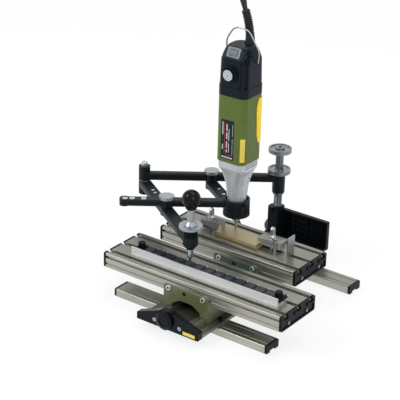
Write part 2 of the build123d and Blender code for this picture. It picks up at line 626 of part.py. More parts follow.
def drill_bail():
    """Spring wire hanger, its ends turned in to the sides of the head."""
    x = MID[0]
    path = FilletPolyline((x - 20.6, BAIL_Y, BAIL_Z), (x - 23.6, BAIL_Y, BAIL_Z), (x - 23.8, BAIL_Y, 325),
                          (x - 13, BAIL_Y, 342.4), (x + 8, BAIL_Y, 342.4), (x + 24.8, BAIL_Y, 318),
                          (x + 23.6, BAIL_Y, BAIL_Z), (x + 20.6, BAIL_Y, BAIL_Z),
                          radius=[1.4, 14, 14, 14, 14, 1.4])
    return sweep(Plane(origin=path @ 0, z_dir=path % 0) * Circle(1.0), path=path)


def drill_spindle():
    """Shaft, collet nut and cutter turn together."""
    shaft = post(*MID, 94.0, 110.0, 3.0)
    nut = post(*MID, 86.6, 94.6, 5.6) - post(*MID, 84, 86.6, 3.0)
    for i in range(12):
        a = math.pi * i / 6
        nut -= post(MID[0] + 5.8 * math.cos(a), MID[1] + 5.8 * math.sin(a), 88, 96, 0.6)
    nut += post(*MID, 84.6, 86.6, 3.6, 5.2)
    cutter = post(*MID, 69.0, 84.6, 1.6) + post(*MID, 65.2, 69.0, 0.3, 1.6)
    return shaft + nut + cutter


# ---------------------------------------------------------------- cord



def boot_frame(t):
    """Point and heading on the bent centre line of the strain relief, t from 0 to 1."""
    dx, dy, dz = (BOOT_TIP[i] - BOOT_FOOT[i] for i in range(3))
    point = (BOOT_FOOT[0] + dx * t ** 2.4, BOOT_FOOT[1] + dy * t, BOOT_FOOT[2] + dz * t)
    slope = (2.4 * dx * t ** 1.4, dy, dz)
    return point, slope


def cord_boot():
    """Tapered strain relief with a ribbed flexible end."""
    sections = []
    stations = [(0.0, 7.0), (0.12, 6.7), (0.42, 5.4)]
    count = 11
    for k in range(count):
        t = 0.42 + 0.56 * k / count
        step = 0.56 / count
        for part, r in ((0.12, 4.5), (0.4, 5.5), (0.7, 5.5), (0.96, 4.5)):
            stations.append((t + part * step, r))
    stations.append((1.0, 4.4))
    for t, r in stations:
        point, slope = boot_frame(t)
        sections.append(Plane(origin=point, x_dir=(0, 1, 0), z_dir=slope) * Circle(r))
    return loft(sections, ruled=True)


def fillet_radii(points):
    """Largest gentle radius at each corner of a route."""
    radii = []
    for a, b, c in zip(points, points[1:], points[2:]):
        u, v = Vector(*b) - Vector(*a), Vector(*c) - Vector(*b)
        half_turn = math.radians(u.get_angle(v)) / 2
        radii.append(0.45 * min(u.length, v.length) / math.tan(half_turn))
    return radii


def report_tube(name, tube, path, radii):
    section = math.pi * CORD_D ** 2 / 4
    shown = ", ".join(f"{r:.0f}" for r in radii)
    print(f"{name}: length {path.length:.1f}, radii {shown}")
    print(f"{name}: volume {tube.volume:.0f}, section x length {section * path.length:.0f}")


def tube_along(path):
    return sweep(Plane(origin=path @ 0, z_dir=path % 0) * Circle(CORD_D / 2), path=path)


def coil_point(turn):
    """Point of the coil after a number of turns: spiral in low, spiral out on top."""
    half = COIL_TOTAL / 2
    r_out = COIL_MEAN_R + COIL_PITCH * half / 2
    angle = math.radians(COIL_START + 360 * turn)
    r = r_out - COIL_PITCH * (half - abs(turn - half))
    climb = min(max((turn - half) / 0.5 + 0.5, 0.0), 1.0)
    z = CORD_D / 2 + COIL_PITCH * (3 * climb ** 2 - 2 * climb ** 3)
    return Vector(COIL_CENTRE[0] + r * math.cos(angle), COIL_CENTRE[1] + r * math.sin(angle), z)


COIL_TOTAL = COIL_TURNS + (COIL_END - COIL_START) / 360


def coil_heading(turn):
    step = 1e-4
    return (coil_point(turn + step) - coil_point(turn - step)).normalized()


def biarc(p0, t0, p1, t1):
    """Two arcs that leave p0 along t0 and reach p1 along t1."""
    v, t = p1 - p0, t0 + t1
    k = 2 * (1 - t0.dot(t1))
    reach = (-v.dot(t) + math.sqrt(v.dot(t) ** 2 + k * v.dot(v))) / k
    mid = ((p0 + t0 * reach) + (p1 - t1 * reach)) * 0.5
    first = Edge.make_tangent_arc(p0, t0, mid)
    return [first, Edge.make_tangent_arc(mid, first % 1, p1)]


def coil_path():
    """Coil centre line: biarcs over half turns, quarter turns in the climb, straight ends."""
    stops = []
    turn = 0.0
    half = COIL_TOTAL / 2
    while turn < COIL_TOTAL - 1e-6:
        stops.append(turn)
        turn = min(turn + 0.25, COIL_TOTAL)
        if COIL_TOTAL - turn < 0.12:
            turn = COIL_TOTAL
    stops.append(COIL_TOTAL)
    flat = [coil_heading(s) for s in stops]
    for end in (0, -1):
        flat[end] = Vector(flat[end].X, flat[end].Y, 0).normalized()
    points = [coil_point(s) for s in stops]
    edges = [Edge.make_line(points[0] - flat[0] * CORD_D, points[0])]
    for p0, t0, p1, t1 in zip(points, flat, points[1:], flat[1:]):
        edges += biarc(p0, t0, p1, t1)
    edges.append(Edge.make_line(points[-1], points[-1] + flat[-1] * CORD_D))
    return Wire(edges)


def least_gap(path, length):
    """Least clear distance of the coil to itself, on points two millimetres apart."""
    count = int(length / 2)
    points = [path @ (i / count) for i in range(count + 1)]
    apart = int(3 * CORD_D / 2)
    least = 1e9
    for i, a in enumerate(points):
        for b in points[i + apart:]:
            least = min(least, (a - b).length)
    return least - CORD_D


def lead_points():
    """Hand-laid route from the strain relief over the back and down to the coil."""
    tip, slope = boot_frame(1.0)
    out = Vector(*slope).normalized()
    tip = Vector(*tip)
    path = coil_path()
    start, run = path @ 0, path % 0
    route = [tip, tip + out * 30, *CORD_ROUTE, start - run * 27, start]
    return [Vector(*p) for p in route]


def cord_lead():
    points = lead_points()
    radii = fillet_radii(points)
    path = FilletPolyline(*points, radius=radii)
    tube = tube_along(path)
    report_tube("cord_lead", tube, path, radii)
    return tube


def cord_coil():
    path = coil_path()
    tube = tube_along(path)
    report_tube("cord_coil", tube, path, [])
    print(f"cord_coil: least gap to itself {least_gap(path, path.length):.2f}")
    return tube


def cord_plug():
    """Two-pin moulded plug with a tapered strain relief, lying on its side."""
    path = coil_path()
    end = path @ 1
    place = Plane(origin=end, x_dir=(0, 0, 1), z_dir=path % 1)
    relief = ((0, 3.2), (6, 3.3), (13, 4.3), (20, 5.4))
    plug = loft([place.offset(d) * Circle(r) for d, r in relief], ruled=True)
    tall = 2 * end.Z - 0.02
    shapes = ((20, 0.8, 15), (26, 1, 21), (40, 1, 22))
    rings = [place.offset(d) * RectangleRounded(tall * h, w, 3.5) for d, h, w in shapes]
    plug += loft(rings, ruled=True)
    pins = []
    for s in (-1, 1):
        pins.append(place.offset(40) * Pos(0, s * 6.35, 0) * extrude(RectangleRounded(6.3, 1.5, 0.5), 16))
    return plug, pins


# ---------------------------------------------------------------- write the nodes

def main():
    save("foot_rails", foot_rail(0), foot_rail(REAR_RAIL_Y))
    caps = []
    for y in (0, REAR_RAIL_Y):
        caps += [foot_cap(RAIL_HALF, RAIL_HALF + 3, y), foot_cap(-RAIL_HALF - 3, -RAIL_HALF, y)]
    save("foot_rail_caps", *caps)
    save("base_beam", base_beam())
    save("beam_bolts", *beam_bolts())
    save("front_plate", front_plate())
    save("front_plate_screws", *[hex_socket_screw(x, -55.4, -53.2, z, 2.6, 1.3) for x, z in PLATE_SCREWS])
    save("column_bracket", column_bracket())
    save("bracket_bolts", *bracket_bolts())

    for name, (x0, x1, y0) in (("front", FRONT_TABLE), ("rear", REAR_TABLE)):
        save(f"{name}_saddle", saddle(y0))
        save(f"{name}_saddle_screws", *saddle_screws(y0))
        save(f"{name}_table", along_x(table_section(y0), x0, x1))
        ends = table_cap(x0 - CAP_THICK, x0, y0, -1), table_cap(x1, x1 + CAP_THICK, y0, 1)
        save(f"{name}_table_caps", *ends)
        screws = table_cap_screws(x0 - CAP_THICK, -1, y0) + table_cap_screws(x1 + CAP_THICK, 1, y0)
        save(f"{name}_table_cap_screws", *screws)

    save("template_rail", template_rail())
    save("template_tiles", *template_tiles())
    save("template_stops", *template_stops())
    save("template_stop_screws", *template_stop_screws())

    save("clamp_bar_left", clamp_bar(-80, -47.5, 64.8, 72.0, -66, -58.6, 119.9))
    save("clamp_bar_right", clamp_bar(10.8, 46, 65.2, 73.0, 29.6, 37.2, 119.9))
    save("clamp_nut_left", clamp_nut(-66, 72.0, 88.8))
    save("clamp_nut_right", clamp_nut(29.6, 73.0, 90.4))
    save("clamp_screws_left", clamp_stud(-66, 80.0), jack_screw(-58.6, 119.9, 74.5))
    save("clamp_screws_right", clamp_stud(29.6, 81.0), jack_screw(37.2, 119.9, 75.5))
    save("angle_stop", angle_stop())
    save("angle_stop_screw", angle_stop_screw())
    save("brass_blank", brass_blank())
    save("support_strip", support_strip())

    save("column_spindle", column_spindle())
    save("column_lock_disc", column_lock_disc())
    save("column_wheel", column_wheel())
    save("rear_arm", rear_arm())
    save("left_link", left_link())
    save("front_arm", front_arm())
    save("right_link", right_link())
    washer = post(*PIVOT_A, 102.55, 103.2, 7.4) - post(*PIVOT_A, 100, 105, 3.05)
    nut = acorn_nut(PIVOT_A, 122.8) - post(*PIVOT_A, 120, 126.05, 3.02)
    save("pivot_a_hardware", pivot_bolt(PIVOT_A, 83.5, 126.0), nut, washer)
    save("thumb_screw_b", thumb_screw(PIVOT_B))
    save("thumb_screw_c", thumb_screw(PIVOT_C))

    save("stylus_sleeve", stylus_sleeve())
    save("stylus_disc", stylus_disc())
    save("stylus_rod", stylus_rod())
    save("stylus_ball", stylus_ball())

    save("drill_nose", drill_nose())
    save("drill_body", drill_body())
    save("drill_grip", drill_grip())
    save("drill_cap", drill_cap())
    save("switch_frame", switch_frame())
    save("rocker_switch", rocker_switch())
    save("speed_dial", speed_dial())
    save("drill_bail", drill_bail())
    save("drill_spindle", drill_spindle())

    save("cord_boot", cord_boot())
    save("cord_lead", cord_lead())
    save("cord_coil", cord_coil())
    plug, pins = cord_plug()
    save("cord_plug", plug)
    save("plug_pins", *pins)


main()
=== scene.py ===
# %% [markdown]
# # A pantograph engraving machine
# The machine is a small bench engraver: extruded tables and rails, four black arms, and an upright
# hand drill. Its working geometry comes packed as a frame of separate nodes. This lesson loads the
# frame, gives every node the finish of the real part, and adds the small parts and marks that a
# frame leaves out.

# %% Load the frame
import math
import bpy
import bmesh
from mathutils import Matrix, Vector


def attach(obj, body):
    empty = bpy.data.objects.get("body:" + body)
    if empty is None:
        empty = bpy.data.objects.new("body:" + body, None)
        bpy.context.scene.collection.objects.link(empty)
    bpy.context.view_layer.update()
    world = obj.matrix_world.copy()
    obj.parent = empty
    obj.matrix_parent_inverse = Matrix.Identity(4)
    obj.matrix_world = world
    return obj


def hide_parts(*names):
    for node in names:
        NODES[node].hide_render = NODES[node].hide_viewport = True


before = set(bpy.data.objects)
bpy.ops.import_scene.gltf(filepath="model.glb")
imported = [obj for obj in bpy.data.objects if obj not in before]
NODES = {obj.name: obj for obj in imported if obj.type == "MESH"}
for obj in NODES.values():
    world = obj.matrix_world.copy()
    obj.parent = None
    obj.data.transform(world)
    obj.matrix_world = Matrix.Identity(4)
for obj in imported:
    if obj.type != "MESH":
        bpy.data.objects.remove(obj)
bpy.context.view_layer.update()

MM = 0.001
bpy.ops.object.select_all(action="DESELECT")

# %% [markdown]
# ## The camera
# The viewpoint is the one from which the machine was seen: from the front right, looking down by
# about twenty-five degrees, through a long lens. Its three axes are written as a rotation matrix,
# because the picture is turned very slightly about its own middle.

# %% Camera
YAW, PITCH, ROLL = math.radians(35.907), math.radians(24.899), math.radians(1.341)
CAMERA_PLACE = (0.92325, -1.26875, 0.89297)
SENSOR_MM, FOCAL_PIXELS, PICTURE_PIXELS = 36.0, 1449.27, 400
ahead = Vector((-math.sin(YAW) * math.cos(PITCH), math.cos(YAW) * math.cos(PITCH), -math.sin(PITCH)))
level = Vector((math.cos(YAW), math.sin(YAW), 0))
upright = level.cross(ahead)
right = level * math.cos(ROLL) + upright * math.sin(ROLL)
up = upright * math.cos(ROLL) - level * math.sin(ROLL)
lens_data = bpy.data.cameras.new("camera")
lens_data.sensor_width = SENSOR_MM
lens_data.lens = SENSOR_MM * FOCAL_PIXELS / PICTURE_PIXELS
lens_data.clip_end = 20
camera = bpy.data.objects.new("camera", lens_data)
bpy.context.scene.collection.objects.link(camera)
turn = Matrix((right, up, -ahead)).transposed().to_4x4()
camera.matrix_world = Matrix.Translation(CAMERA_PLACE) @ turn
bpy.context.scene.camera = camera
print("lens", round(lens_data.lens, 1), "mm")

# %% [markdown]
# ## Tools for the finishes
# Every finish is a Principled shader with a pattern of its own. Five small helpers are enough: one
# turns a written colour into the linear values that a shader wants, one adds a node with its
# settings and links, one starts a named material, one runs from a first colour to a second, and one
# lets a pattern change the roughness and raise the surface.

# %% Colour and node helpers
def colour(hex_code):
    """sRGB hex such as 8A8D90 to linear red, green, blue, alpha."""
    parts = [int(hex_code[i:i + 2], 16) / 255 for i in (0, 2, 4)]
    return tuple(p / 12.92 if p <= 0.04045 else ((p + 0.055) / 1.055) ** 2.4 for p in parts) + (1.0,)


def add(tree, kind, inputs=None, **settings):
    """Add one node; an input value that is a socket is linked, any other is typed in."""
    node = tree.nodes.new(kind)
    for key, value in settings.items():
        setattr(node, key, value)
    for key, value in (inputs or {}).items():
        if isinstance(value, bpy.types.NodeSocket):
            tree.links.new(value, node.inputs[key])
        else:
            node.inputs[key].default_value = value
    return node


def start(name, roughness, metallic=0.0):
    """A new material: its tree, its Principled node and the object's own coordinates."""
    material = bpy.data.materials.new(name)
    material.use_nodes = True
    tree = material.node_tree
    tree.nodes.clear()
    shader = add(tree, "ShaderNodeBsdfPrincipled", {"Roughness": roughness, "Metallic": metallic})
    add(tree, "ShaderNodeOutputMaterial", {"Surface": shader.outputs["BSDF"]})
    place = add(tree, "ShaderNodeTexCoord")
    return material, tree, shader, place.outputs["Object"]


def blend_colours(tree, factor, low, high):
    """Colour that runs from one hex to another with a factor."""
    mix = add(tree, "ShaderNodeMix", {0: factor, 6: colour(low), 7: colour(high)}, data_type="RGBA")
    return mix.outputs[2]


def relief(tree, shader, pattern, smoothest, roughest, strength, depth_mm):
    """Roughness that follows a pattern, and a bump of it."""
    rough_map = add(tree, "ShaderNodeMapRange", {0: pattern, 3: smoothest, 4: roughest})
    tree.links.new(rough_map.outputs[0], shader.inputs["Roughness"])
    bump = add(tree, "ShaderNodeBump", {"Height": pattern, "Strength": strength, "Distance": depth_mm * MM})
    tree.links.new(bump.outputs[0], shader.inputs["Normal"])


# %% [markdown]
# ## Anodised extrusions
# The tables, the beam and the foot rails are aluminium profiles, pressed through a die and anodised
# in a pale champagne tone. The die leaves faint lines along the length, so the pattern is a noise
# stretched more than a hundredfold along the bar. Lines of the real width would be finer than a
# pixel here, so they are drawn about a millimetre apart. Faces that look up are mixed towards a
# darker tone: a painted shade that stands for the machine mirrored in them from above.

# %% Anodised aluminium, drawn lines along X or along Y
LINE_WIDE_MM, LINE_LONG_MM, PAINTED_TOP_SHADE_TONE = 1.1, 160, "4A463A"


def drawn_aluminium(name, axis, low, high, rough, top=0.0):
    """Profile whose lines run along X or Y; top is the share of painted darker shade on upward faces."""
    material, tree, shader, place = start(name, rough, 0.85)
    across = 1 / (LINE_WIDE_MM * MM)
    length = 1 / (LINE_LONG_MM * MM)
    stretch = (length, across, across) if axis == "X" else (across, length, across)
    scaled = add(tree, "ShaderNodeMapping", {"Vector": place, "Scale": stretch})
    lines = add(tree, "ShaderNodeTexNoise", {"Vector": scaled.outputs[0], "Scale": 1.0, "Detail": 3.0})
    cloud = add(tree, "ShaderNodeTexNoise", {"Vector": place, "Scale": 1 / (60 * MM), "Detail": 2.0})
    both = add(tree, "ShaderNodeMath", {0: lines.outputs[0], 1: cloud.outputs[0], 2: 0.22}, operation="MULTIPLY_ADD")
    facing = add(tree, "ShaderNodeSeparateXYZ", {0: place.node.outputs["Normal"]})
    # Painted shade: upward faces are mixed towards a darker tone by how much they look up.
    flat = add(tree, "ShaderNodeMapRange", {0: facing.outputs["Z"], 1: 0.6, 2: 1.0, 3: 0.0, 4: top})
    metal = blend_colours(tree, both.outputs[0], low, high)
    painted_top_shade = add(tree, "ShaderNodeMix", {0: flat.outputs[0], 6: metal, 7: colour(PAINTED_TOP_SHADE_TONE)}, data_type="RGBA")
    tree.links.new(painted_top_shade.outputs[2], shader.inputs["Base Color"])
    relief(tree, shader, lines.outputs[0], rough - 0.08, rough + 0.10, 0.10, 0.05)
    return material


anodised_x = drawn_aluminium("anodised_profile_lengthwise_x", "X", "86857B", "C6C6BE", 0.30, 0.42)
anodised_y = drawn_aluminium("anodised_profile_lengthwise_y", "Y", "86847A", "B0AEA2", 0.32, 0.42)
bright_x = drawn_aluminium("clear_anodised_rail", "X", "C4C6C9", "EEEFF1", 0.34)

# %% [markdown]
# ## Painted, moulded and cast finishes
# Saddles are die cast and painted olive green. The arms are black anodised after bead blasting. The
# drill has a green ABS housing with a fine spark-eroded grain, a black glass-filled head, and a nose
# that is cast and painted silver. All of them are a base colour with a small cloudy change, plus a
# grain whose size is written in millimetres.

# %% Grained finishes
CLOUD_MM, COAT_ROUGHNESS = 25, 0.12


def grained(name, low, high, rough, grain_mm, relief_mm, metallic=0.0, coat=0.0, gleam=0.5):
    """Cloudy base colour under a fine grain; gleam is the strength of the mirror part."""
    material, tree, shader, place = start(name, rough, metallic)
    shader.inputs["Specular IOR Level"].default_value = gleam
    shader.inputs["Coat Weight"].default_value = coat
    shader.inputs["Coat Roughness"].default_value = COAT_ROUGHNESS
    cloud = add(tree, "ShaderNodeTexNoise", {"Vector": place, "Scale": 1 / (CLOUD_MM * MM), "Detail": 4.0})
    tree.links.new(blend_colours(tree, cloud.outputs[0], low, high), shader.inputs["Base Color"])
    grain = add(tree, "ShaderNodeTexNoise", {"Vector": place, "Scale": 1 / (grain_mm * MM), "Detail": 2.0})
    relief(tree, shader, grain.outputs[0], rough - 0.06, rough + 0.08, 0.35, relief_mm)
    return material


olive_enamel = grained("olive_enamel_on_casting", "4E5638", "5F6943", 0.38, 0.9, 0.05, coat=0.2)
teal_enamel = grained("grey_green_enamel_on_casting", "44534A", "53635A", 0.40, 0.9, 0.05, coat=0.1)
black_blasted = grained("black_anodised_blasted", "0B1215", "151D21", 0.38, 0.5, 0.04, 0.1, gleam=0.16)
black_paint = grained("black_enamel_on_casting", "060A0E", "0D1318", 0.33, 1.2, 0.05, gleam=0.10)
black_moulded = grained("black_moulded_nylon", "06090D", "0C1216", 0.38, 0.6, 0.03, gleam=0.10)
gloss_plate = grained("black_glossy_end_plate", "05090E", "0A1118", 0.22, 1.5, 0.02, gleam=0.14)
green_abs = grained("green_moulded_abs", "4D5D27", "5A6A30", 0.36, 0.45, 0.02, gleam=0.2)
black_head = grained("black_glass_filled_nylon", "07101A", "101B26", 0.32, 0.5, 0.03, gleam=0.13)
silver_cast = grained("silver_paint_on_cast_nose", "A8ADB2", "C6CACE", 0.32, 0.7, 0.03, metallic=0.45)
yellow_grip = grained("yellow_soft_moulding", "E3BE12", "F2CF22", 0.50, 0.7, 0.04)
rubber_black = grained("black_cord_rubber", "12161A", "1C2226", 0.48, 0.8, 0.03, gleam=0.25)
tile_black = grained("black_engraving_laminate", "0E151B", "182028", 0.26, 0.8, 0.02, gleam=0.3)
grey_rocker = grained("dark_grey_rocker", "434D54", "515B62", 0.40, 0.5, 0.02)
grey_frame = grained("grey_switch_frame", "5E676C", "70797F", 0.42, 0.5, 0.02)
ball_black = grained("black_polished_phenolic", "040506", "070809", 0.08, 3.0, 0.004, gleam=0.14)
label_black = grained("black_printed_foil", "10161B", "182026", 0.30, 2.0, 0.01, gleam=0.2)
label_print = grained("pale_print", "A9AFAE", "C4C9C7", 0.50, 1.0, 0.01)
seam_painted_highlight = grained("painted_highlight_on_seam", "7D8A52", "8B9860", 0.40, 0.45, 0.02, gleam=0.2)
label_red = grained("red_print", "8E2A30", "A5343A", 0.50, 1.0, 0.01, gleam=0.2)
label_yellow = grained("yellow_printed_foil", "CDB43A", "E0CC5C", 0.42, 1.0, 0.01)
dial_face = grained("light_grey_dial_face", "9FA6A9", "B4BABC", 0.38, 0.8, 0.01)
raised_black = grained("raised_black_numerals", "28323B", "35404A", 0.34, 0.8, 0.02, gleam=0.4)
print_black = grained("black_print", "15181B", "202428", 0.50, 1.0, 0.01)

# %% [markdown]
# ## Turned and milled metal
# Discs and knobs are turned from aluminium, and the turning tool leaves fine rings. Clamps and
# screws are milled or rolled steel with small scratches in every direction. Rings need the axis of
# the part, so the finish takes the place of that axis and measures the distance from it. The post's
# lower part has a thread, drawn as a wave along its height, with painted shade in its grooves.

# %% Turned and milled metal, and the axes of the turned parts
RING_MM, SCRATCH_MM = 0.5, 1.6
COLUMN, TRACER, DRILL = (-28.0, 223.0), (-22.0, 18.7), (-25.0, 120.85)
PIVOT_A, PIVOT_B, PIVOT_C = (-171.90, 116.535), (-99.95, 169.77), (-96.95, 67.62)


def turned(name, axis_mm, low, high, rough):
    """Metal with the rings of a turning tool about an upright axis."""
    material, tree, shader, place = start(name, rough, 1.0)
    move = (-axis_mm[0] * MM, -axis_mm[1] * MM, 0)
    centred = add(tree, "ShaderNodeMapping", {"Vector": place, "Location": move, "Scale": (1, 1, 0)})
    radius = add(tree, "ShaderNodeVectorMath", {0: centred.outputs[0]}, operation="LENGTH")
    rings = add(tree, "ShaderNodeTexNoise", {"W": radius.outputs["Value"], "Scale": 1 / (RING_MM * MM)},
                noise_dimensions="1D")
    tree.links.new(blend_colours(tree, rings.outputs[0], low, high), shader.inputs["Base Color"])
    relief(tree, shader, rings.outputs[0], rough - 0.07, rough + 0.09, 0.25, 0.04)
    return material


def milled(name, low, high, rough):
    """Metal with small scratches in every direction."""
    material, tree, shader, place = start(name, rough, 1.0)
    pattern = {"Vector": place, "Scale": 1 / (SCRATCH_MM * MM), "Detail": 6.0, "Distortion": 1.5}
    marks = add(tree, "ShaderNodeTexNoise", pattern)
    tree.links.new(blend_colours(tree, marks.outputs[0], low, high), shader.inputs["Base Color"])
    relief(tree, shader, marks.outputs[0], rough - 0.08, rough + 0.10, 0.2, 0.04)
    return material


turned_column = turned("turned_aluminium_column", COLUMN, "6C7277", "A3A8AC", 0.28)
turned_stylus = turned("turned_aluminium_stylus", TRACER, "7E848A", "B6BABE", 0.28)
turned_b = turned("turned_knob_rear", PIVOT_B, "8B8F92", "B9BCBE", 0.32)
turned_c = turned("turned_knob_front", PIVOT_C, "8B8F92", "B9BCBE", 0.32)
milled_steel = milled("milled_steel", "7F8285", "B4B4B2", 0.36)
bright_zinc = grained("bright_zinc_plated_steel", "C4C7C9", "E0E2E3", 0.30, 1.0, 0.02, metallic=0.5)
zinc_steel = milled("zinc_plated_steel", "8F9295", "C6C8CA", 0.30)
bright_wire = milled("stainless_spring_wire", "777B7E", "B4B7B9", 0.26)
brass = milled("brushed_brass", "9E9270", "D2C7A4", 0.36)


THREAD_PITCH_MM, THREAD_TOP_MM, THREAD_PAINTED_SHADE_TONE = 1.5, 88.0, "14181B"


def threaded(name, axis_mm):
    """Turned post whose lower part carries a thread, with painted shade in its grooves."""
    material = turned(name, axis_mm, "5F666B", "969CA0", 0.32)
    tree = material.node_tree
    shader = next(n for n in tree.nodes if n.type == "BSDF_PRINCIPLED")
    place = next(n for n in tree.nodes if n.type == "TEX_COORD").outputs["Object"]
    split = add(tree, "ShaderNodeSeparateXYZ", {0: place})
    turns = 2 * math.pi / (THREAD_PITCH_MM * MM)
    phase = add(tree, "ShaderNodeMath", {0: split.outputs["Z"], 1: turns}, operation="MULTIPLY")
    wave = add(tree, "ShaderNodeMath", {0: phase.outputs[0]}, operation="SINE")
    below = add(tree, "ShaderNodeMath", {0: split.outputs["Z"], 1: THREAD_TOP_MM * MM}, operation="LESS_THAN")
    cut = add(tree, "ShaderNodeMath", {0: wave.outputs[0], 1: below.outputs[0]}, operation="MULTIPLY")
    # Painted shade: the thread's grooves are mixed towards a near-black tone.
    shade = add(tree, "ShaderNodeMapRange", {0: cut.outputs[0], 1: -1.0, 2: 0.4, 3: 0.75, 4: 0.0})
    metal = shader.inputs["Base Color"].links[0].from_socket
    mix = add(tree, "ShaderNodeMix", {0: shade.outputs[0], 6: metal, 7: colour(THREAD_PAINTED_SHADE_TONE)}, data_type="RGBA")
    tree.links.new(mix.outputs[2], shader.inputs["Base Color"])
    bump = add(tree, "ShaderNodeBump", {"Height": cut.outputs[0], "Strength": 0.8, "Distance": 0.3 * MM})
    tree.links.new(bump.outputs[0], shader.inputs["Normal"])
    return material


threaded_post = threaded("threaded_column_post", COLUMN)

# %% Wood grain of the strip under the blank
FIBRE_LONG_MM, FIBRE_WIDE_MM = 25, 2


def plain_wood(name):
    """Wood whose fibres run along X."""
    material, tree, shader, place = start(name, 0.6)
    along_x, across = 1 / (FIBRE_LONG_MM * MM), 1 / (FIBRE_WIDE_MM * MM)
    grain_space = add(tree, "ShaderNodeMapping", {"Vector": place, "Scale": (along_x, across, across)})
    grain = add(tree, "ShaderNodeTexNoise", {"Vector": grain_space.outputs[0], "Scale": 1.0, "Detail": 5.0})
    tree.links.new(blend_colours(tree, grain.outputs[0], "8C7650", "B59E74"), shader.inputs["Base Color"])
    return material


beech = plain_wood("beech_strip")
print("materials", len(bpy.data.materials))

# %% [markdown]
# ## Finishes for the frame's own nodes
# A node whose shape is right stays, and only gets its finish.

# %% Give each node its finish
FINISHES = {
    "foot_rails": anodised_x, "base_beam": anodised_y, "front_table": anodised_x, "rear_table": anodised_x,
    "template_rail": bright_x, "foot_rail_caps": black_moulded, "front_table_caps": black_moulded,
    "rear_table_caps": black_moulded, "front_plate": gloss_plate, "beam_bolts": black_paint,
    "front_plate_screws": zinc_steel, "column_bracket": black_paint, "bracket_bolts": black_blasted,
    "front_saddle": olive_enamel, "rear_saddle": teal_enamel, "front_saddle_screws": bright_zinc,
    "rear_saddle_screws": bright_zinc, "front_table_cap_screws": milled_steel,
    "rear_table_cap_screws": milled_steel, "template_tiles": tile_black, "template_stops": black_moulded,
    "template_stop_screws": milled_steel, "brass_blank": brass, "support_strip": beech,
    "clamp_bar_left": milled_steel, "clamp_bar_right": milled_steel, "clamp_screws_left": zinc_steel,
    "clamp_screws_right": zinc_steel, "clamp_nut_left": zinc_steel, "clamp_nut_right": zinc_steel,
    "angle_stop": milled_steel, "angle_stop_screw": zinc_steel, "column_spindle": threaded_post,
    "column_wheel": turned_column, "column_lock_disc": turned_column, "rear_arm": black_blasted,
    "left_link": black_blasted, "front_arm": black_blasted, "right_link": black_blasted,
    "pivot_a_hardware": zinc_steel, "thumb_screw_b": turned_b, "thumb_screw_c": turned_c,
    "stylus_sleeve": black_moulded, "stylus_disc": turned_stylus, "stylus_rod": turned_stylus,
    "stylus_ball": ball_black, "drill_nose": silver_cast, "drill_body": green_abs, "drill_grip": yellow_grip,
    "drill_cap": black_head, "switch_frame": grey_frame, "rocker_switch": grey_rocker, "speed_dial": black_head,
    "drill_bail": bright_wire, "drill_spindle": zinc_steel, "cord_boot": rubber_black,
    "cord_plug": rubber_black, "plug_pins": brass,
}
for name, material in FINISHES.items():
    NODES[name].data.materials.clear()
    NODES[name].data.materials.append(material)
print("finished nodes", len(FINISHES), "without a finish", sorted(set(NODES) - set(FINISHES)))

# %% [markdown]
# ## The cord
# The mains cord leaves the ribbed strain relief upwards, goes over the back in an arch, comes down
# behind the drill and ends in a neat coil behind the column, where the plug lies beside it. One NURBS
# spline carries the whole length, and the coil's turns are more points of that same spline. All the
# places are in millimetres.

# %% Cord and coil
CORD_ROUTE = (
    (-60.0, 139.0, 424.0), (-82.0, 164.0, 460.0), (-106.0, 203.0, 469.0), (-119.5, 239.0, 440.0),
    (-124.5, 256.5, 385.0), (-122.5, 265.0, 325.0), (-117.0, 272.0, 268.0), (-117.5, 274.0, 200.0),
    (-121.5, 274.0, 132.0), (-126.0, 273.0, 76.0), (-126.5, 266.5, 38.0), (-117.0, 252.5, 12.5),
    (-90.0, 237.5, 3.4),
)
CORD_D = 6.0
COIL_CENTRE, COIL_MEAN_R, COIL_PITCH, COIL_TURNS = (-43.0, 286.0), 30.5, 6.5, 4
COIL_START, COIL_END = 285.0, 284.0
COIL_TOTAL = COIL_TURNS + (COIL_END - COIL_START) / 360
POINTS_PER_TURN = 24
BOOT_LEAN, TIP_BEND, STRAIGHT_UP, STRAIGHT_IN = Vector((-9.5, 0.5, 51.0)), 2.4, 30, 27


def coil_point(turn):
    """Spiral in on the floor, climb while it reverses, spiral out on top."""
    half = COIL_TOTAL / 2
    angle = math.radians(COIL_START + 360 * turn)
    radius = COIL_MEAN_R + COIL_PITCH * half / 2 - COIL_PITCH * (half - abs(turn - half))
    climb = min(max((turn - half) / 0.5 + 0.5, 0.0), 1.0)
    height = CORD_D / 2 + COIL_PITCH * (3 * climb ** 2 - 2 * climb ** 3)
    across, back = radius * math.cos(angle), radius * math.sin(angle)
    return Vector((COIL_CENTRE[0] + across, COIL_CENTRE[1] + back, height))


def flat_heading(turn):
    """The way along the coil at a turn, seen from above."""
    step = coil_point(turn + 1e-4) - coil_point(turn - 1e-4)
    return Vector((step.x, step.y, 0)).normalized()


